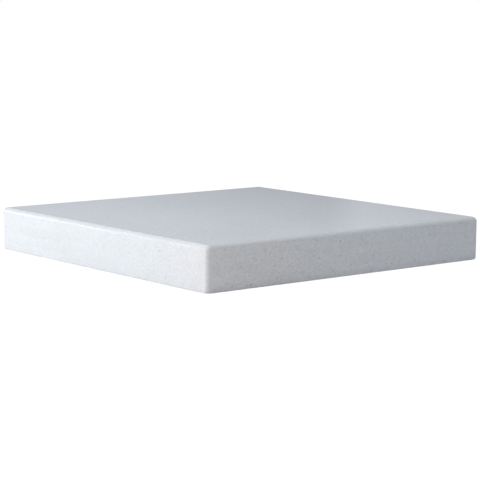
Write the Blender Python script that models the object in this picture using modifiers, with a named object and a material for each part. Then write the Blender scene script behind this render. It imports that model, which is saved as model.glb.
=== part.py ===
"""Square stone slab for leatherwork, a solid block with eased edges all round.

It is cut from one piece of pale fine-grained granite. Metres, +Z up. The origin is in the middle of
the underside, so the slab stands on the plane Z = 0 with its polished working face on top.
"""

import bmesh
import bpy

COLLECTION_NAME = "granite_slab"
SLAB_NAME = "stone_slab"

# Driving sizes
SLAB_WIDTH = 0.3048  # along X, 12 in
SLAB_DEPTH = 0.3048  # along Y, 12 in
SLAB_THICKNESS = 0.0381  # along Z, 1 1/2 in
TOP_EDGE_RADIUS = 0.0030  # round between the working face and the four sides
CORNER_RADIUS = 0.0030  # round on the four upright corners
BOTTOM_EDGE_RADIUS = 0.0008  # round between the sides and the underside

ROUND_SEGMENTS = 6  # flat strips across each round
ROUND_PROFILE = 0.5  # a circular arc in the Bevel modifier

# Finish of the stone
STONE_COLOUR = (0.72, 0.74, 0.77, 1.0)
STONE_ROUGHNESS = 0.30
STONE_METALLIC = 0.0

EDGE_WEIGHT = "bevel_weight_edge"


def clear_scene():
    for existing in list(bpy.data.objects):
        bpy.data.objects.remove(existing)


def new_collection(name):
    collection = bpy.data.collections.new(name)
    bpy.context.scene.collection.children.link(collection)
    return collection


def stone_material(name):
    material = bpy.data.materials.new(name)
    material.use_nodes = True
    shader = material.node_tree.nodes["Principled BSDF"]
    shader.inputs["Base Color"].default_value = STONE_COLOUR
    shader.inputs["Roughness"].default_value = STONE_ROUGHNESS
    shader.inputs["Metallic"].default_value = STONE_METALLIC
    return material


def edge_radius(edge):
    """The round that an edge of the sawn block gets: upright corner, top edge or bottom edge."""
    first, second = (vert.co.z for vert in edge.verts)
    if abs(first - second) > SLAB_THICKNESS / 2:
        return CORNER_RADIUS
    return TOP_EDGE_RADIUS if first > SLAB_THICKNESS / 2 else BOTTOM_EDGE_RADIUS


def sawn_block(name):
    """The slab before its edges are eased: a plain block that stands on Z = 0."""
    mesh = bpy.data.meshes.new(name)
    block = bmesh.new()
    bmesh.ops.create_cube(block, size=1.0)
    bmesh.ops.scale(block, vec=(SLAB_WIDTH, SLAB_DEPTH, SLAB_THICKNESS), verts=block.verts)
    bmesh.ops.translate(block, vec=(0.0, 0.0, SLAB_THICKNESS / 2), verts=block.verts)
    widest_round = max(TOP_EDGE_RADIUS, CORNER_RADIUS, BOTTOM_EDGE_RADIUS)
    weight = block.edges.layers.float.new(EDGE_WEIGHT)
    for edge in block.edges:
        edge[weight] = edge_radius(edge) / widest_round
    block.to_mesh(mesh)
    block.free()
    return bpy.data.objects.new(name, mesh), widest_round


def ease_edges(slab, widest_round):
    """Rounds each edge by its own weight, as a share of the widest round."""
    bevel = slab.modifiers.new("eased_edges", "BEVEL")
    bevel.limit_method = "WEIGHT"
    bevel.edge_weight = EDGE_WEIGHT
    bevel.offset_type = "OFFSET"
    bevel.width = widest_round
    bevel.segments = ROUND_SEGMENTS
    bevel.profile = ROUND_PROFILE
    bevel.use_clamp_overlap = False


def stone_slab(collection):
    slab, widest_round = sawn_block(SLAB_NAME)
    collection.objects.link(slab)
    slab.data.materials.append(stone_material("polished_stone"))
    slab.data.shade_smooth()
    ease_edges(slab, widest_round)
    return slab


def main():
    clear_scene()
    collection = new_collection(COLLECTION_NAME)
    stone_slab(collection)


main()
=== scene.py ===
"""Looks of a square granite slab for leatherwork: polished face, ground sides and eased edges."""

import math

import bpy
import numpy as np
from mathutils import Matrix, Vector


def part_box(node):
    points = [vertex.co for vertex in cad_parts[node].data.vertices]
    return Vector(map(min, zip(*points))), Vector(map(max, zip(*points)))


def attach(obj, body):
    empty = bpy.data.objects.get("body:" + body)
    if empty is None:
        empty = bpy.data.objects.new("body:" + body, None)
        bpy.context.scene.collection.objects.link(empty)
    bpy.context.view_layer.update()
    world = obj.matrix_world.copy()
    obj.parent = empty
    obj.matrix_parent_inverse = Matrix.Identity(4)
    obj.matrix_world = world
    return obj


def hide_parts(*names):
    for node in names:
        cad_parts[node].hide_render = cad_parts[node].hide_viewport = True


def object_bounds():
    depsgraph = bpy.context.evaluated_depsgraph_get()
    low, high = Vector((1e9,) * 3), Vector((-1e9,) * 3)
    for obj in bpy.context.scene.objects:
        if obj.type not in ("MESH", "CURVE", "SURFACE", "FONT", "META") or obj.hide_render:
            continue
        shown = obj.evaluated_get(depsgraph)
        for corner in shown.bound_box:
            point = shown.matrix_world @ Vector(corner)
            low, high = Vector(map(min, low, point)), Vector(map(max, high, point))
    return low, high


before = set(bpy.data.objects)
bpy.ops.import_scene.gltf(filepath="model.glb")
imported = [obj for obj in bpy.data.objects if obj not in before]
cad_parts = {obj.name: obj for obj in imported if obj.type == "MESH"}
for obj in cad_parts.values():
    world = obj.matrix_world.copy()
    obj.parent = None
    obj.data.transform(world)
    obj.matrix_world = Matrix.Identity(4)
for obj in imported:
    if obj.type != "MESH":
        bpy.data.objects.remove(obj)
CAD_LOW, CAD_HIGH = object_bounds()

SLAB_NODE = "stone_slab"
SLAB_LOW, SLAB_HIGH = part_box(SLAB_NODE)
SLAB_SIZE = SLAB_HIGH - SLAB_LOW
SLAB_CENTRE = (SLAB_LOW + SLAB_HIGH) / 2

# Edge treatment of the slab, in metres
TOP_EASE = 0.0030  # how far the eased edge reaches in over the working face and down the sides
TOP_EASE_POWER = 1.5  # 2 is a true round, 1 a flat 45-degree chamfer
FOOT_EASE = 0.0004  # the same at the underside
FOOT_EASE_POWER = 1.8
CORNER_RADIUS = 0.0030  # upright corners
RIM_CORNER_RADIUS = 0.0010  # plan corner of the working face, inside the eased edge
RIM_WIDTH = 0.0010  # a flat ring round the working face and the underside
KNOCK_HEIGHT = 0.0030  # how far up the lower end of each upright corner is knocked off
KNOCK_RADIUS = 0.0030  # what that adds to the corner's plan radius at the underside

# Mesh spacing
ALONG_SIDE = 0.0011
DOWN_SIDE = 0.0018
CORNER_STEPS = 8
TOP_EASE_STEPS = 9
FOOT_EASE_STEPS = 4
KNOCK_STEPS = 5
MAP_GAP = 0.004  # between the parts of the slab's map

# Freedom: the share of the relief's movement that a row of points takes
EASE_FREEDOM_SPAN = 0.85  # of half a sine wave, across the eased edge at the top
SIDE_FREEDOM = 0.45  # at the top of the side
SIDE_FREEDOM_LOSS = 0.225  # with each row further down
FOOT_FREEDOM = 0.3  # at most

# Zones of the surface, written to the mesh as the face attribute "zone"
ZONE_TOP, ZONE_TOP_EASE, ZONE_SIDE, ZONE_FOOT_EASE, ZONE_UNDER = range(5)


# ---------------------------------------------------------------- node helpers


class Tree:
    """A node tree with short calls for adding nodes and joining their sockets."""

    def __init__(self, tree):
        self.tree = tree

    def add(self, kind, settings=(), **inputs):
        node = self.tree.nodes.new(kind)
        for name, value in dict(settings).items():
            setattr(node, name, value)
        for name, value in inputs.items():
            self.put(node.inputs[name.replace("_", " ")], value)
        return node

    def put(self, socket, value):
        if isinstance(value, bpy.types.NodeSocket):
            self.tree.links.new(value, socket)
        else:
            socket.default_value = value

    def math(self, operation, first, second=0.0, clamp=False):
        node = self.tree.nodes.new("ShaderNodeMath")
        node.operation = operation
        node.use_clamp = clamp
        self.put(node.inputs[0], first)
        self.put(node.inputs[1], second)
        return node.outputs[0]

    def vector_math(self, operation, first, second):
        node = self.tree.nodes.new("ShaderNodeVectorMath")
        node.operation = operation
        self.put(node.inputs[0], first)
        self.put(node.inputs[1], second)
        return node.outputs["Vector"]

    def scaled(self, vector, by):
        node = self.tree.nodes.new("ShaderNodeVectorMath")
        node.operation = "SCALE"
        self.put(node.inputs[0], vector)
        self.put(node.inputs["Scale"], by)
        return node.outputs["Vector"]

    def remap(self, value, low, high, to_low, to_high, smooth=False):
        node = self.tree.nodes.new("ShaderNodeMapRange")
        node.interpolation_type = "SMOOTHSTEP" if smooth else "LINEAR"
        for name, given in (("Value", value), ("From Min", low), ("From Max", high),
                            ("To Min", to_low), ("To Max", to_high)):
            self.put(node.inputs[name], given)
        return node.outputs["Result"]

    def mix_colour(self, share, first, second, blend="MIX"):
        node = self.tree.nodes.new("ShaderNodeMix")
        node.data_type = "RGBA"
        node.blend_type = blend
        self.put(node.inputs["Factor"], share)
        self.put(node.inputs[6], first)
        self.put(node.inputs[7], second)
        return node.outputs[2]


def node_group(name, kind, inputs, outputs):
    """An empty node group. Inputs and outputs are (socket name, socket type, default)."""
    group = bpy.data.node_groups.new(name, kind)
    for direction, sockets in (("INPUT", inputs), ("OUTPUT", outputs)):
        for label, kind_of_socket, default in sockets:
            socket = group.interface.new_socket(label, in_out=direction, socket_type=kind_of_socket)
            if default is not None:
                socket.default_value = default
    source = group.nodes.new("NodeGroupInput")
    target = group.nodes.new("NodeGroupOutput")
    return group, source.outputs, target.inputs


# ---------------------------------------------------------------- stone textures


def grain_group():
    """The stone itself: fine crystals of slightly different tone, clouds, a warm stain and dark flecks."""
    group, given, out = node_group(
        "granite_grain", "ShaderNodeTree",
        [("Vector", "NodeSocketVector", None),
         ("Stone Colour", "NodeSocketColor", (0.7, 0.7, 0.7, 1.0)),
         ("Stain Colour", "NodeSocketColor", (0.7, 0.7, 0.7, 1.0)),
         ("Crystal Size", "NodeSocketFloat", 0.001),
         ("Crystal Stretch", "NodeSocketFloat", 1.0),
         ("Crystal Contrast", "NodeSocketFloat", 0.1),
         ("Cloud Contrast", "NodeSocketFloat", 0.03),
         ("Fleck Size", "NodeSocketFloat", 0.002),
         ("Fleck Amount", "NodeSocketFloat", 0.02),
         ("Fleck Darkness", "NodeSocketFloat", 0.3)],
        [("Color", "NodeSocketColor", None),
         ("Tone", "NodeSocketFloat", None)])
    t = Tree(group)
    by_size = t.math("DIVIDE", 1.0, given["Crystal Size"])
    flatter = t.math("DIVIDE", 1.0, given["Crystal Stretch"])
    squeeze = t.add("ShaderNodeCombineXYZ", (), X=flatter, Y=flatter, Z=1.0)
    crystal_place = t.vector_math("MULTIPLY", given["Vector"], squeeze.outputs[0])
    fine = t.add("ShaderNodeTexVoronoi", {"feature": "F1"}, Vector=crystal_place, Scale=by_size)
    coarse = t.add("ShaderNodeTexVoronoi", {"feature": "F1"}, Vector=crystal_place,
                   Scale=t.math("MULTIPLY", by_size, 0.5))
    fine_tone = t.add("ShaderNodeSeparateColor", (), Color=fine.outputs["Color"]).outputs[0]
    coarse_tone = t.add("ShaderNodeSeparateColor", (), Color=coarse.outputs["Color"]).outputs[1]
    mostly_pale = t.math("POWER", fine_tone, 0.55)
    fine_part = t.math("MULTIPLY", mostly_pale, 1.0 - COARSE_SHARE)
    tone = t.math("ADD", fine_part, t.math("MULTIPLY", coarse_tone, COARSE_SHARE))
    clouds = t.add("ShaderNodeTexNoise", (), Vector=given["Vector"], Scale=CLOUDS_PER_METRE,
                   Detail=3.0, Roughness=0.55)

    # the stain: iron-warm stone round one upright corner, thinning out along both sides
    from_corner = t.vector_math("SUBTRACT", given["Vector"], STAIN_CORNER)
    drift = t.add("ShaderNodeTexNoise", (), Vector=given["Vector"], Scale=18.0, Detail=3.0)
    blur = t.math("MULTIPLY", drift.outputs[0], STAIN_DRIFT)

    def close_to_corner(offset):
        """1 where the offset from the stained corner is short, falling smoothly to 0 where it is long."""
        distance = t.add("ShaderNodeVectorMath", {"operation": "LENGTH"})
        t.put(distance.inputs[0], offset)
        reach = t.math("ADD", distance.outputs["Value"], blur)
        return t.remap(reach, STAIN_FULL, STAIN_GONE, 1.0, 0.0, smooth=True)

    stain = close_to_corner(t.vector_math("MULTIPLY", from_corner, STAIN_SHAPE))
    base = t.mix_colour(stain, given["Stone Colour"], given["Stain Colour"])

    # crystals stand out more all round that corner
    stronger = t.remap(close_to_corner(from_corner), 0.0, 1.0, CONTRAST_FAR, CONTRAST_CLOSE)
    contrast = t.math("MULTIPLY", given["Crystal Contrast"], stronger)
    crystal_part = t.math("MULTIPLY", t.math("SUBTRACT", tone, MEAN_TONE), contrast)
    cloud_part = t.math("MULTIPLY", t.math("SUBTRACT", clouds.outputs[0], 0.5), given["Cloud Contrast"])
    lift = t.math("ADD", 1.0, t.math("ADD", crystal_part, cloud_part))

    fleck_cells = t.add("ShaderNodeTexVoronoi", {"feature": "F1"}, Vector=given["Vector"],
                        Scale=t.math("DIVIDE", 1.0, given["Fleck Size"]))
    draw = t.add("ShaderNodeSeparateColor", (), Color=fleck_cells.outputs["Color"]).outputs
    chosen = t.math("LESS_THAN", draw[2], given["Fleck Amount"])
    width = t.remap(draw[0], 0.0, 1.0, 0.22, 0.5)
    core = t.remap(fleck_cells.outputs["Distance"], t.math("MULTIPLY", width, 0.5), width,
                   1.0, 0.0, smooth=True)
    fleck = t.math("MULTIPLY", chosen, core)
    shade = t.math("SUBTRACT", lift, t.math("MULTIPLY", fleck, given["Fleck Darkness"]))
    t.put(out["Color"], t.scaled(base, shade))
    t.put(out["Tone"], tone)
    return group


def wear_group():
    """Where the stone has been rubbed or bruised: 1 on a worn spot, 0 elsewhere, inside a given mask."""
    group, given, out = node_group(
        "edge_wear", "ShaderNodeTree",
        [("Vector", "NodeSocketVector", None),
         ("Edge", "NodeSocketFloat", 0.0),
         ("Spot Size", "NodeSocketFloat", 0.004),
         ("Amount", "NodeSocketFloat", 0.4)],
        [("Wear", "NodeSocketFloat", None)])
    t = Tree(group)
    spots = t.add("ShaderNodeTexNoise", (), Vector=given["Vector"],
                  Scale=t.math("DIVIDE", 1.0, given["Spot Size"]), Detail=4.0, Roughness=0.65)
    bar = t.math("SUBTRACT", 0.75, t.math("MULTIPLY", given["Amount"], 0.35))
    above = t.math("SUBTRACT", spots.outputs[0], bar)
    worn = t.math("MULTIPLY", above, 9.0, clamp=True)
    t.put(out["Wear"], t.math("MULTIPLY", worn, given["Edge"], clamp=True))
    return group


def ground_group():
    """An unpolished surface: pulled-out grains, the grinding wheel's lines and bands, a band low down for
    painted shade and light.
    """
    group, given, out = node_group(
        "ground_surface", "ShaderNodeTree",
        [("Vector", "NodeSocketVector", None),
         ("Pit Size", "NodeSocketFloat", 0.0012),
         ("Pit Share", "NodeSocketFloat", 0.2),
         ("Line Spacing", "NodeSocketFloat", 0.0015),
         ("Line Depth", "NodeSocketFloat", 0.2),
         ("Dust Height", "NodeSocketFloat", 0.01)],
        [("Height", "NodeSocketFloat", None),
         ("Pits", "NodeSocketFloat", None),
         ("Lines", "NodeSocketFloat", None),
         ("Bands", "NodeSocketFloat", None),
         ("Low Band", "NodeSocketFloat", None)])
    t = Tree(group)
    cells = t.add("ShaderNodeTexVoronoi", {"feature": "F1"}, Vector=given["Vector"],
                  Scale=t.math("DIVIDE", 1.0, given["Pit Size"]))
    chance = t.add("ShaderNodeSeparateColor", (), Color=cells.outputs["Color"]).outputs[1]
    chosen = t.math("LESS_THAN", chance, given["Pit Share"])
    bowl = t.remap(cells.outputs["Distance"], 0.10, 0.45, 1.0, 0.0, smooth=True)
    pits = t.math("MULTIPLY", chosen, bowl)
    stretched = t.add("ShaderNodeMapping", (), Vector=given["Vector"])
    stretched.inputs["Scale"].default_value = (LINE_STRETCH, LINE_STRETCH, 1.0)
    lines = t.add("ShaderNodeTexNoise", (), Vector=stretched.outputs[0],
                  Scale=t.math("DIVIDE", 0.5, given["Line Spacing"]), Detail=3.0, Roughness=0.6)
    places = t.add("ShaderNodeTexNoise", (), Vector=given["Vector"], Scale=11.0, Detail=1.0)
    strong = t.remap(places.outputs[0], 0.42, 0.62, 0.25, 1.0, smooth=True)
    ridges = t.math("MULTIPLY", t.math("SUBTRACT", lines.outputs[0], 0.5), strong)
    height = t.add("ShaderNodeSeparateXYZ", (), Vector=given["Vector"]).outputs["Z"]
    uneven = t.add("ShaderNodeTexNoise", (), Vector=given["Vector"], Scale=45.0, Detail=3.0)
    share = t.math("ADD", 0.6, t.math("MULTIPLY", uneven.outputs[0], 0.8))
    low_band_top = t.math("MULTIPLY", given["Dust Height"], share)
    # a band near the floor, which the sides fill with painted shade and painted light
    low_band = t.remap(height, 0.0, low_band_top, 1.0, 0.0, smooth=True)
    wide = t.add("ShaderNodeMapping", (), Vector=given["Vector"])
    wide.inputs["Scale"].default_value = (BAND_STRETCH, BAND_STRETCH, 1.0)
    bands = t.add("ShaderNodeTexNoise", (), Vector=wide.outputs[0], Scale=BANDS_PER_METRE, Detail=2.0)
    t.put(out["Bands"], t.math("SUBTRACT", bands.outputs[0], 0.5))
    t.put(out["Height"], t.math("SUBTRACT", t.math("MULTIPLY", ridges, given["Line Depth"]), pits))
    t.put(out["Pits"], pits)
    t.put(out["Lines"], ridges)
    t.put(out["Low Band"], low_band)
    return group


STAIN_CORNER = Vector(SLAB_LOW)
STAIN_FULL = 0.06  # metres from the corner within which the stone is fully stained
STAIN_GONE = 0.26  # and where the stain has ended
STAIN_DRIFT = 0.12  # how far its border wanders
STAIN_SHAPE = (1.0, 3.0, 1.0)  # how many times sooner it ends along each axis
CONTRAST_CLOSE = 1.20  # share of the crystals' contrast close to that corner
CONTRAST_FAR = 0.85  # and far from it
STONE_TINT = (0.547, 0.571, 0.596, 1.0)
STAIN_TINT = (0.570, 0.571, 0.589, 1.0)
COOL_TINT = (0.545, 0.571, 0.612, 1.0)  # of the sides at the +X end
POLISHED_TINT = (0.550, 0.576, 0.617, 1.0)
# the eased edge's tints are the stone's a little darkened: painted shade that holds down the light the edge
# catches
EASED_SHADED_TINT = (0.528, 0.553, 0.578, 1.0)
EASED_SHADED_STAIN_TINT = (0.545, 0.553, 0.570, 1.0)
RUBBED_TINT = (0.560, 0.580, 0.600, 1.0)
CRYSTAL = 0.0009  # size of a fine crystal; the coarse ones are twice that
COARSE_SHARE = 0.22  # how much of the tone comes from the coarse crystals
MEAN_TONE = 0.61  # of the crystals, so that their contrast leaves the stone's colour as it is
FLECK = 0.0030
CLOUDS_PER_METRE = 26.0
BANDS_PER_METRE = 55.0  # broad, faint bands that the grinding leaves along the sides
BAND_STRETCH = 0.08  # share of the noise's rate that is kept along a side
LINE_STRETCH = 0.045  # the same for the fine grinding lines

# The ground sides
SIDE_CONTRAST = 0.25  # how much the crystals stand out
FINE_STONE_CONTRAST = 0.16  # the same at the -X side
FINE_STONE_DEPTH = 0.04  # how far in from the -X side the crystals reach the first of these
LOW_PAINTED_SHADE, LOW_PAINTED_LIGHT = -0.02, 0.05  # painted shade and painted light in the band low down: what they add to the stone's brightness
LOW_PAINTED_SHADE_TO, LOW_PAINTED_LIGHT_FROM = -0.10, 0.05  # where along X the painted shade low down turns to painted light

GRAIN = grain_group()
WEAR = wear_group()
GROUND = ground_group()


def start_material(name):
    material = bpy.data.materials.new(name)
    material.use_nodes = True
    tree = Tree(material.node_tree)
    shader = material.node_tree.nodes["Principled BSDF"]
    place = tree.add("ShaderNodeTexCoord").outputs["Object"]
    return material, tree, shader, place


def group_node(tree, group, **inputs):
    node = tree.tree.nodes.new("ShaderNodeGroup")
    node.node_tree = group
    for name, value in inputs.items():
        tree.put(node.inputs[name.replace("_", " ")], value)
    return node.outputs


def polished_top():
    """The working face: polished until it mirrors at a low angle, its crystals only faintly in view."""
    material, t, shader, place = start_material("polished_face")
    grain = group_node(t, GRAIN, Vector=place, Stone_Colour=POLISHED_TINT, Stain_Colour=POLISHED_TINT,
                       Crystal_Size=CRYSTAL, Crystal_Contrast=0.24, Cloud_Contrast=0.05,
                       Fleck_Size=FLECK, Fleck_Amount=0.07, Fleck_Darkness=0.20)
    haze = t.add("ShaderNodeTexNoise", (), Vector=place, Scale=14.0, Detail=3.0)
    t.put(shader.inputs["Base Color"], grain["Color"])
    t.put(shader.inputs["Roughness"], t.remap(haze.outputs[0], 0.3, 0.7, 0.09, 0.13))
    shader.inputs["IOR"].default_value = 1.54
    return material


def eased_edge():
    """The narrow band along the top edges, eased by hand: smoother than the sides, a little darker than the
    stone as painted shade, paler where rubbed.
    """
    material, t, shader, place = start_material("eased_edge")
    # the edge's darker tints are painted shade
    grain = group_node(t, GRAIN, Vector=place, Stone_Colour=EASED_SHADED_TINT, Stain_Colour=EASED_SHADED_STAIN_TINT,
                       Crystal_Size=CRYSTAL, Crystal_Contrast=0.14, Cloud_Contrast=0.03,
                       Fleck_Size=FLECK, Fleck_Amount=0.05, Fleck_Darkness=0.12)
    wear = group_node(t, WEAR, Vector=place, Edge=1.0, Spot_Size=0.006, Amount=0.5)["Wear"]
    colour = t.mix_colour(t.math("MULTIPLY", wear, 0.25), grain["Color"], RUBBED_TINT)
    t.put(shader.inputs["Base Color"], colour)
    t.put(shader.inputs["Roughness"], t.remap(wear, 0.0, 1.0, 0.45, 0.58))
    shader.inputs["Specular IOR Level"].default_value = 0.40
    return material


def ground_side():
    """The four sides: ground flat but not polished, so they are matt and every crystal shows a little.

    The -X side is the finest. Towards +X the crystals stand out more and the stone is a little
    cooler. Low down the sides carry painted shade at -X that turns to painted light towards +X."""
    material, t, shader, place = start_material("ground_side")
    along = t.add("ShaderNodeSeparateXYZ", (), Vector=place).outputs["X"]
    contrast = t.remap(along, SLAB_LOW.x, SLAB_LOW.x + FINE_STONE_DEPTH,
                       FINE_STONE_CONTRAST, SIDE_CONTRAST)
    stone = t.mix_colour(t.remap(along, 0.0, SLAB_HIGH.x, 0.0, 1.0), STONE_TINT, COOL_TINT)
    grain = group_node(t, GRAIN, Vector=place, Stone_Colour=stone, Stain_Colour=STAIN_TINT,
                       Crystal_Size=CRYSTAL, Crystal_Stretch=1.45, Crystal_Contrast=contrast,
                       Cloud_Contrast=0.04, Fleck_Size=FLECK, Fleck_Amount=0.08, Fleck_Darkness=0.20)
    ground = group_node(t, GROUND, Vector=place, Pit_Size=0.0013, Pit_Share=0.22,
                        Line_Spacing=0.0022, Line_Depth=0.6, Dust_Height=0.014)
    # pits are darkened a little: painted shade in the hollows
    shade = t.math("SUBTRACT", 1.0, t.math("MULTIPLY", ground["Pits"], 0.08))
    shade = t.math("ADD", shade, t.math("MULTIPLY", ground["Lines"], 0.16))
    shade = t.math("ADD", shade, t.math("MULTIPLY", ground["Bands"], 0.05))
    # painted shade low down at -X and painted light low down towards +X, in a band near the floor
    low_painted_light_and_shade = t.remap(along, LOW_PAINTED_SHADE_TO, LOW_PAINTED_LIGHT_FROM, LOW_PAINTED_SHADE, LOW_PAINTED_LIGHT)
    shade = t.math("ADD", shade, t.math("MULTIPLY", ground["Low Band"], low_painted_light_and_shade))
    t.put(shader.inputs["Base Color"], t.scaled(grain["Color"], shade))
    t.put(shader.inputs["Roughness"], t.remap(grain["Tone"], 0.2, 0.8, 0.62, 0.5))
    bump = t.add("ShaderNodeBump", (), Strength=0.35, Distance=0.00012, Height=ground["Height"])
    t.put(shader.inputs["Normal"], bump.outputs[0])
    shader.inputs["IOR"].default_value = 1.5
    return material


def sawn_underside():
    """The underside as the saw left it: dull, with the blade's wide arcs."""
    material, t, shader, place = start_material("sawn_underside")
    grain = group_node(t, GRAIN, Vector=place, Stone_Colour=STONE_TINT, Stain_Colour=STAIN_TINT,
                       Crystal_Size=CRYSTAL, Crystal_Contrast=0.22, Cloud_Contrast=0.10,
                       Fleck_Size=FLECK, Fleck_Amount=0.10, Fleck_Darkness=0.18)
    ground = group_node(t, GROUND, Vector=place, Pit_Size=0.0016, Pit_Share=0.3, Line_Depth=0.0)
    arcs_from = t.add("ShaderNodeMapping", (), Vector=place)
    arcs_from.inputs["Location"].default_value = (0.35, 0.62, 0.0)
    arcs = t.add("ShaderNodeTexWave", {"wave_type": "RINGS", "rings_direction": "Z"},
                 Vector=arcs_from.outputs[0], Scale=70.0, Distortion=1.2, Detail=2.0)
    height = t.math("ADD", t.math("MULTIPLY", arcs.outputs[1], 0.8), ground["Height"])
    t.put(shader.inputs["Base Color"], grain["Color"])
    bump = t.add("ShaderNodeBump", (), Strength=0.5, Distance=0.0002, Height=height)
    t.put(shader.inputs["Normal"], bump.outputs[0])
    t.put(shader.inputs["Roughness"], t.remap(grain["Tone"], 0.2, 0.8, 0.85, 0.74))
    return material


# ---------------------------------------------------------------- the slab's surface


def eased_arc(reach, power, steps):
    """(inset, drop) along an eased edge, from the flat face to the side, as a superellipse."""
    points = []
    for step in range(steps + 1):
        turn = math.pi / 2 * step / steps
        inset = reach * (1 - math.sin(turn) ** (2 / power))
        drop = reach * (1 - math.cos(turn) ** (2 / power))
        points.append((inset, drop))
    return points


def section():
    """The slab's section, rim to rim, as rows of (inset, height, zone of the faces below it, freedom)."""
    top = SLAB_SIZE.z
    rows = [(TOP_EASE + RIM_WIDTH, top, ZONE_TOP, 0.0)]
    for step, (inset, drop) in enumerate(eased_arc(TOP_EASE, TOP_EASE_POWER, TOP_EASE_STEPS)):
        freedom = math.sin(math.pi * EASE_FREEDOM_SPAN * step / TOP_EASE_STEPS)
        rows.append((inset, top - drop, ZONE_TOP_EASE, freedom))
    side_top = top - TOP_EASE
    rows[-1] = (0.0, side_top, ZONE_SIDE, rows[-1][3])
    steps = round((side_top - KNOCK_HEIGHT) / DOWN_SIDE)
    for step in range(1, steps):
        height = side_top + (KNOCK_HEIGHT - side_top) * step / steps
        freedom = max(SIDE_FREEDOM - SIDE_FREEDOM_LOSS * step, 0.0)
        rows.append((0.0, height, ZONE_SIDE, freedom))
    for step in range(KNOCK_STEPS):
        height = KNOCK_HEIGHT + (FOOT_EASE - KNOCK_HEIGHT) * step / KNOCK_STEPS
        rows.append((0.0, height, ZONE_SIDE, 0.0))
    foot = list(reversed(eased_arc(FOOT_EASE, FOOT_EASE_POWER, FOOT_EASE_STEPS)))
    for step, (inset, height) in enumerate(foot):
        freedom = FOOT_FREEDOM * math.sin(math.pi * step / FOOT_EASE_STEPS)
        rows.append((inset, height, ZONE_FOOT_EASE, freedom))
    rows[-1] = (FOOT_EASE, 0.0, ZONE_UNDER, 0.0)
    rows.append((FOOT_EASE + RIM_WIDTH, 0.0, ZONE_UNDER, 0.0))
    return rows


def plan_corner(inset, height):
    """Plan radius of the upright corner: small at the working face's rim, large at its knocked-off foot."""
    radius = CORNER_RADIUS + (RIM_CORNER_RADIUS - CORNER_RADIUS) * min(inset / TOP_EASE, 1.0)
    down = max(1.0 - height / KNOCK_HEIGHT, 0.0)
    return radius + KNOCK_RADIUS * (1.0 - math.sqrt(1.0 - down ** 2))


def plan_loop(inset, height):
    """One closed row of points round the slab, anticlockwise, each side followed by its corner."""
    half_x, half_y = SLAB_SIZE.x / 2 - inset, SLAB_SIZE.y / 2 - inset
    radius = plan_corner(inset, height)
    along = round(min(SLAB_SIZE.x, SLAB_SIZE.y) / ALONG_SIDE)
    points = []
    for quarter in range(4):
        turn = quarter * math.pi / 2
        across, out = (half_x, half_y) if quarter % 2 == 0 else (half_y, half_x)
        forward = np.array((math.cos(turn), math.sin(turn)))
        outward = np.array((math.sin(turn), -math.cos(turn)))
        for step in range(along):
            share = -1 + 2 * step / along
            points.append(forward * (across - radius) * share + outward * out)
        centre = forward * (across - radius) + outward * (out - radius)
        for step in range(CORNER_STEPS):
            angle = math.pi / 2 * step / CORNER_STEPS
            points.append(centre + radius * (outward * math.cos(angle) + forward * math.sin(angle)))
    return np.array(points)


def slab_mesh():
    """The whole slab as one closed mesh: rows of quads round the sides, closed by two flat faces."""
    rows = section()
    loops = []
    freedoms = []
    for inset, height, zone, freedom in rows:
        flat = plan_loop(inset, height)
        level = np.full(len(flat), SLAB_LOW.z + height)
        loops.append(np.column_stack((flat + SLAB_CENTRE.xy, level)))
        freedoms += [freedom] * len(flat)
    around = len(loops[0])
    places = np.concatenate(loops)
    station = np.arange(around)
    after = (station + 1) % around
    faces, zones = [], []
    for row in range(len(rows) - 1):
        upper, lower = row * around, (row + 1) * around
        quads = np.column_stack((upper + station, lower + station, lower + after, upper + after))
        faces += quads.tolist()
        zones += [rows[row][2]] * around
    faces.append(station.tolist())
    zones.append(ZONE_TOP)
    last = (len(rows) - 1) * around
    faces.append((last + station[::-1]).tolist())
    zones.append(ZONE_UNDER)
    mesh = bpy.data.meshes.new("slab_surface")
    mesh.from_pydata(places.tolist(), [], faces)
    mesh.attributes.new("zone", "INT", "FACE").data.foreach_set("value", zones)
    mesh.attributes.new("freedom", "FLOAT", "POINT").data.foreach_set("value", freedoms)
    mesh.shade_smooth()
    plane = [zone in (ZONE_TOP, ZONE_UNDER) for zone in zones]
    mesh.attributes.new("sharp_face", "BOOLEAN", "FACE").data.foreach_set("value", plane)
    return mesh


def lay_out_map(mesh):
    """The slab's own map: the working face, the four sides as strips beside it, a half-size underside."""
    side = max(SLAB_SIZE.x, SLAB_SIZE.y)
    gap = MAP_GAP
    strip = SLAB_SIZE.z + gap
    whole = side + gap + 4 * strip
    layer = mesh.uv_layers.new(name="OFBake")
    zone = np.empty(len(mesh.polygons), np.int32)
    mesh.attributes["zone"].data.foreach_get("value", zone)
    half = SLAB_SIZE / 2
    # faces that look mostly up or down lie in the two squares, all others in the sides' strips
    for face in mesh.polygons:
        facing = face.normal
        for corner in face.loop_indices:
            place = mesh.vertices[mesh.loops[corner].vertex_index].co - SLAB_CENTRE
            x, y, z = place.x + half.x, place.y + half.y, place.z + half.z
            if zone[face.index] in (ZONE_TOP, ZONE_TOP_EASE) and facing.z > 0.5:
                u, v = x, y
            elif zone[face.index] in (ZONE_FOOT_EASE, ZONE_UNDER) and facing.z < -0.8:
                u, v = x / 2, side + gap + y / 2
            elif abs(facing.x) > abs(facing.y):
                u, v = side + gap + z + (0 if facing.x > 0 else strip), y
            else:
                u, v = side + gap + 2 * strip + z + (0 if facing.y > 0 else strip), x
            layer.uv[corner].vector = (u / whole, v / whole)


def socket_identifier(group, name):
    return next(item.identifier for item in group.interface.items_tree
                if item.item_type == "SOCKET" and item.in_out == "INPUT" and item.name == name)


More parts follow.
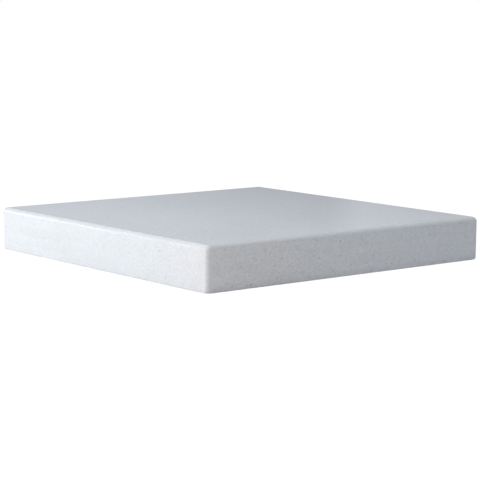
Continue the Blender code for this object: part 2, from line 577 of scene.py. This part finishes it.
def relief_tree(materials):
    """Geometry nodes: the unevenness of hand work and a few nicks along the edges, then the materials."""
    group, given, out = node_group(
        "stone_relief", "GeometryNodeTree",
        [("Geometry", "NodeSocketGeometry", None),
         ("Edge Waver", "NodeSocketFloat", 0.0),
         ("Waver Length", "NodeSocketFloat", 0.05),
         ("Nick Density", "NodeSocketFloat", 0.0),
         ("Nick Radius", "NodeSocketFloat", 0.001),
         ("Nick Depth", "NodeSocketFloat", 0.0003),
         ("Seed", "NodeSocketInt", 0)],
        [("Geometry", "NodeSocketGeometry", None)])
    group.is_modifier = True
    t = Tree(group)

    def compare_zone(number):
        node = t.add("FunctionNodeCompare", {"data_type": "INT", "operation": "EQUAL"})
        zone = t.add("GeometryNodeInputNamedAttribute", {"data_type": "INT"}, Name="zone")
        t.put(node.inputs[2], zone.outputs["Attribute"])
        node.inputs[3].default_value = number
        return node.outputs["Result"]

    def either(first, second):
        node = t.add("FunctionNodeBooleanMath", {"operation": "OR"})
        t.put(node.inputs[0], first)
        t.put(node.inputs[1], second)
        return node.outputs[0]

    on_edge = either(compare_zone(ZONE_TOP_EASE), compare_zone(ZONE_FOOT_EASE))
    normal = t.add("GeometryNodeInputNormal").outputs[0]
    position = t.add("GeometryNodeInputPosition").outputs[0]

    # nicks: points scattered on the eased edges, each with its own size, press in the surface round them
    scatter = t.add("GeometryNodeDistributePointsOnFaces", {"distribute_method": "RANDOM"},
                    Mesh=given["Geometry"], Selection=on_edge,
                    Density=given["Nick Density"], Seed=given["Seed"])
    points = scatter.outputs["Points"]
    nearest = t.add("GeometryNodeSampleNearest", {"domain": "POINT"}, Geometry=points)
    size = t.add("FunctionNodeRandomValue", {"data_type": "FLOAT"})
    size.inputs[2].default_value = 0.35
    size.inputs[3].default_value = 1.0
    t.put(size.inputs["Seed"], given["Seed"])
    nick_size = t.add("GeometryNodeSampleIndex", {"data_type": "FLOAT", "domain": "POINT"},
                      Geometry=points, Index=nearest.outputs[0])
    t.put(nick_size.inputs["Value"], size.outputs[1])
    nick_place = t.add("GeometryNodeSampleIndex", {"data_type": "FLOAT_VECTOR", "domain": "POINT"},
                       Geometry=points, Index=nearest.outputs[0])
    t.put(nick_place.inputs["Value"], position)
    ragged = t.add("ShaderNodeTexNoise", (), Vector=position, Scale=900.0, Detail=1.0)
    away = t.add("ShaderNodeVectorMath", {"operation": "DISTANCE"})
    t.put(away.inputs[0], position)
    t.put(away.inputs[1], nick_place.outputs["Value"])
    radius = t.math("MULTIPLY", given["Nick Radius"], nick_size.outputs["Value"])
    radius = t.math("MULTIPLY", radius, t.math("ADD", 0.6, t.math("MULTIPLY", ragged.outputs[0], 0.8)))
    near = t.math("SUBTRACT", 1.0, t.math("DIVIDE", away.outputs["Value"], radius), clamp=True)
    depth = t.math("MULTIPLY", t.math("POWER", near, 0.7), given["Nick Depth"])
    depth = t.math("MULTIPLY", depth, nick_size.outputs["Value"])
    free = t.add("GeometryNodeInputNamedAttribute", {"data_type": "FLOAT"}, Name="freedom")
    freedom = free.outputs["Attribute"]

    # waver: the eased edge was ground by eye, so its width drifts slightly from place to place
    drift = t.add("ShaderNodeTexNoise", (), Vector=position,
                  Scale=t.math("DIVIDE", 1.0, given["Waver Length"]), Detail=1.0)
    above = t.remap(drift.outputs[0], 0.3, 0.7, 0.0, 1.0)
    waver = t.math("MULTIPLY", above, given["Edge Waver"])
    inward = t.math("MULTIPLY", t.math("ADD", depth, waver), t.math("MULTIPLY", freedom, -1.0))
    moved = t.add("GeometryNodeSetPosition", (), Geometry=given["Geometry"],
                  Offset=t.scaled(normal, inward))
    whole = t.add("GeometryNodeRealizeInstances", (), Geometry=moved.outputs[0])
    last = whole.outputs[0]
    for zone, material in materials:
        dressed = t.add("GeometryNodeSetMaterial", (), Geometry=last,
                        Selection=compare_zone(zone), Material=material)
        last = dressed.outputs[0]
    t.put(out["Geometry"], last)
    return group


def dressed_slab():
    """The finished slab: the closed mesh, with its relief and materials made plain by geometry nodes."""
    rough = bpy.data.objects.new("slab_before_relief", slab_mesh())
    lay_out_map(rough.data)
    bpy.context.scene.collection.objects.link(rough)
    edge = eased_edge()
    side = ground_side()
    materials = [(ZONE_TOP, polished_top()), (ZONE_TOP_EASE, edge), (ZONE_SIDE, side),
                 (ZONE_FOOT_EASE, side), (ZONE_UNDER, sawn_underside())]
    relief = relief_tree(materials)
    modifier = rough.modifiers.new("relief", "NODES")
    modifier.node_group = relief
    sizes = {"Edge Waver": 0.00018, "Waver Length": 0.06, "Nick Density": 900.0,
             "Nick Radius": 0.0016, "Nick Depth": 0.0003, "Seed": 7}
    for name, value in sizes.items():
        modifier[socket_identifier(relief, name)] = value
    shown = rough.evaluated_get(bpy.context.evaluated_depsgraph_get())
    mesh = bpy.data.meshes.new_from_object(shown)
    mesh.name = "granite_slab_stone"
    slab = bpy.data.objects.new("granite_slab_stone", mesh)
    bpy.context.scene.collection.objects.link(slab)
    bpy.data.objects.remove(rough)
    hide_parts(SLAB_NODE)
    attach(slab, "root")
    return slab


# ---------------------------------------------------------------- studio


FLOOR_REACH = 30.0
FLOOR_COLOUR = (0.90, 0.90, 0.90, 1.0)
FLOOR_SEEN_COLOUR = (0.03, 0.03, 0.03, 1.0)  # where it is seen directly, the lamps add little
FLOOR_BURN = 1.0
# Brightness of the soft light from all round: (sine of the height over the horizon, brightness)
SKY_STOPS = ((0.0, 0.17), (0.06, 0.20), (0.10, 0.38), (0.14, 0.75), (0.20, 0.15), (1.0, 0.15))
SKY_TINT = (0.955, 1.0, 1.07)
# Grey drapes low behind the slab: (degrees from +Y towards +X, how much light they take away)
DRAPE_STOPS = ((34.0, 0.0), (37.0, 0.076), (40.0, 0.166), (42.0, 0.209),
               (43.2, 0.02), (46.0, 0.145), (50.0, 0.0))
DRAPE_FADE = (0.10, 0.26)  # sines of the heights between which the drapes fade out
SOFT_BOXES = (  # name, place, size, watts
    ("key_light", (-1.90, 0.00, 1.05), (1.3, 0.8), 20.5),
    ("back_fill", (-0.93, 1.34, 0.26), (0.9, 0.34), 15.0),
    ("front_fill", (-0.35, -0.75, 0.45), (0.4, 0.3), 0.55),
    ("overhead", (0.00, 0.00, 2.20), (1.5, 1.5), 35.5))


def studio_floor():
    """Pale paper, bright enough to burn out to plain white where the camera sees it."""
    mesh = bpy.data.meshes.new("studio_floor")
    corners = [(-FLOOR_REACH, -FLOOR_REACH), (FLOOR_REACH, -FLOOR_REACH),
               (FLOOR_REACH, FLOOR_REACH), (-FLOOR_REACH, FLOOR_REACH)]
    mesh.from_pydata([(x, y, CAD_LOW.z) for x, y in corners], [], [(0, 1, 2, 3)])
    floor = bpy.data.objects.new("studio_floor", mesh)
    bpy.context.scene.collection.objects.link(floor)
    material = bpy.data.materials.new("studio_floor_paper")
    material.use_nodes = True
    t = Tree(material.node_tree)
    shader = material.node_tree.nodes["Principled BSDF"]
    shader.inputs["Roughness"].default_value = 1.0
    shader.inputs["Specular IOR Level"].default_value = 0.0
    shader.inputs["Emission Color"].default_value = (1.0, 1.0, 1.0, 1.0)
    seen = t.add("ShaderNodeLightPath").outputs["Is Camera Ray"]
    t.put(shader.inputs["Base Color"], t.mix_colour(seen, FLOOR_COLOUR, FLOOR_SEEN_COLOUR))
    t.put(shader.inputs["Emission Strength"], t.math("MULTIPLY", seen, FLOOR_BURN))
    mesh.materials.append(material)


def brightness_ramp(t, value, stops):
    """A grey ramp over value; stops are (position from 0 to 1, brightness)."""
    ramp = t.add("ShaderNodeValToRGB", (), Fac=value)
    marks = ramp.color_ramp.elements
    while len(marks) > 1:
        marks.remove(marks[-1])
    marks[0].position = stops[0][0]
    for place, _ in stops[1:]:
        marks.new(place)
    for mark, (_, grey) in zip(marks, stops):
        mark.color = (grey, grey, grey, 1.0)
    return ramp.outputs["Color"]


def studio_sky():
    """Soft light from all round, with a pale band low down that the polished face mirrors.

    Where it is seen directly it is plain white."""
    world = bpy.data.worlds.new("studio")
    bpy.context.scene.world = world
    world.use_nodes = True
    t = Tree(world.node_tree)
    background = world.node_tree.nodes["Background"]
    direction = t.add("ShaderNodeTexCoord").outputs["Generated"]
    parts = t.add("ShaderNodeSeparateXYZ", (), Vector=direction).outputs
    sky = brightness_ramp(t, parts["Z"], SKY_STOPS)
    bearing = t.math("MULTIPLY", t.math("ARCTAN2", parts["X"], parts["Y"]), 180.0 / math.pi)
    first, last = DRAPE_STOPS[0][0], DRAPE_STOPS[-1][0]
    along = t.remap(bearing, first, last, 0.0, 1.0)
    stops = [((stop - first) / (last - first), grey) for stop, grey in DRAPE_STOPS]
    drapes = brightness_ramp(t, along, stops)
    low = t.remap(parts["Z"], DRAPE_FADE[0], DRAPE_FADE[1], 1.0, 0.0)
    lit = t.math("MAXIMUM", t.math("SUBTRACT", sky, t.math("MULTIPLY", drapes, low)), 0.0)
    tinted = t.scaled(SKY_TINT, lit)
    seen = t.add("ShaderNodeLightPath").outputs["Is Camera Ray"]
    t.put(background.inputs["Color"], t.mix_colour(seen, tinted, (1.0, 1.0, 1.0, 1.0)))
    background.inputs["Strength"].default_value = 1.0


def soft_boxes():
    """Soft boxes: the strongest stand to the left of the slab, and one hangs over it."""
    for name, place, size, power in SOFT_BOXES:
        data = bpy.data.lights.new(name, "AREA")
        data.shape = "RECTANGLE"
        data.size, data.size_y = size
        data.energy = power
        lamp = bpy.data.objects.new(name, data)
        lamp.location = place
        lamp.rotation_euler = Vector(place).to_track_quat("Z", "Y").to_euler()
        lamp.visible_camera = False
        bpy.context.scene.collection.objects.link(lamp)


# Viewpoint: degrees round the slab from its front (-Y) side, degrees above the floor, metres
VIEW_AZIMUTH = -39.05
VIEW_ELEVATION = 8.04
VIEW_ROLL = 0.41
VIEW_DISTANCE = 1.49
VIEW_AIM = Vector((-0.0263, -0.0372, 0.0190))
LENS = 127.56


def camera():
    data = bpy.data.cameras.new("camera")
    data.lens = LENS
    data.sensor_width = 36.0
    data.clip_start = 0.05
    data.clip_end = 200.0
    eye = bpy.data.objects.new("camera", data)
    azimuth, elevation = math.radians(VIEW_AZIMUTH), math.radians(VIEW_ELEVATION)
    back = Vector((math.sin(azimuth) * math.cos(elevation), -math.cos(azimuth) * math.cos(elevation),
                   math.sin(elevation)))
    eye.location = VIEW_AIM + back * VIEW_DISTANCE
    upright = (-back).to_track_quat("-Z", "Y")
    roll = Matrix.Rotation(math.radians(VIEW_ROLL), 3, "Z").to_quaternion()
    eye.rotation_mode = "QUATERNION"
    eye.rotation_quaternion = upright @ roll
    bpy.context.scene.collection.objects.link(eye)
    bpy.context.scene.camera = eye


bpy.context.scene.view_settings.view_transform = "Standard"
dressed_slab()
studio_floor()
studio_sky()
soft_boxes()
camera()
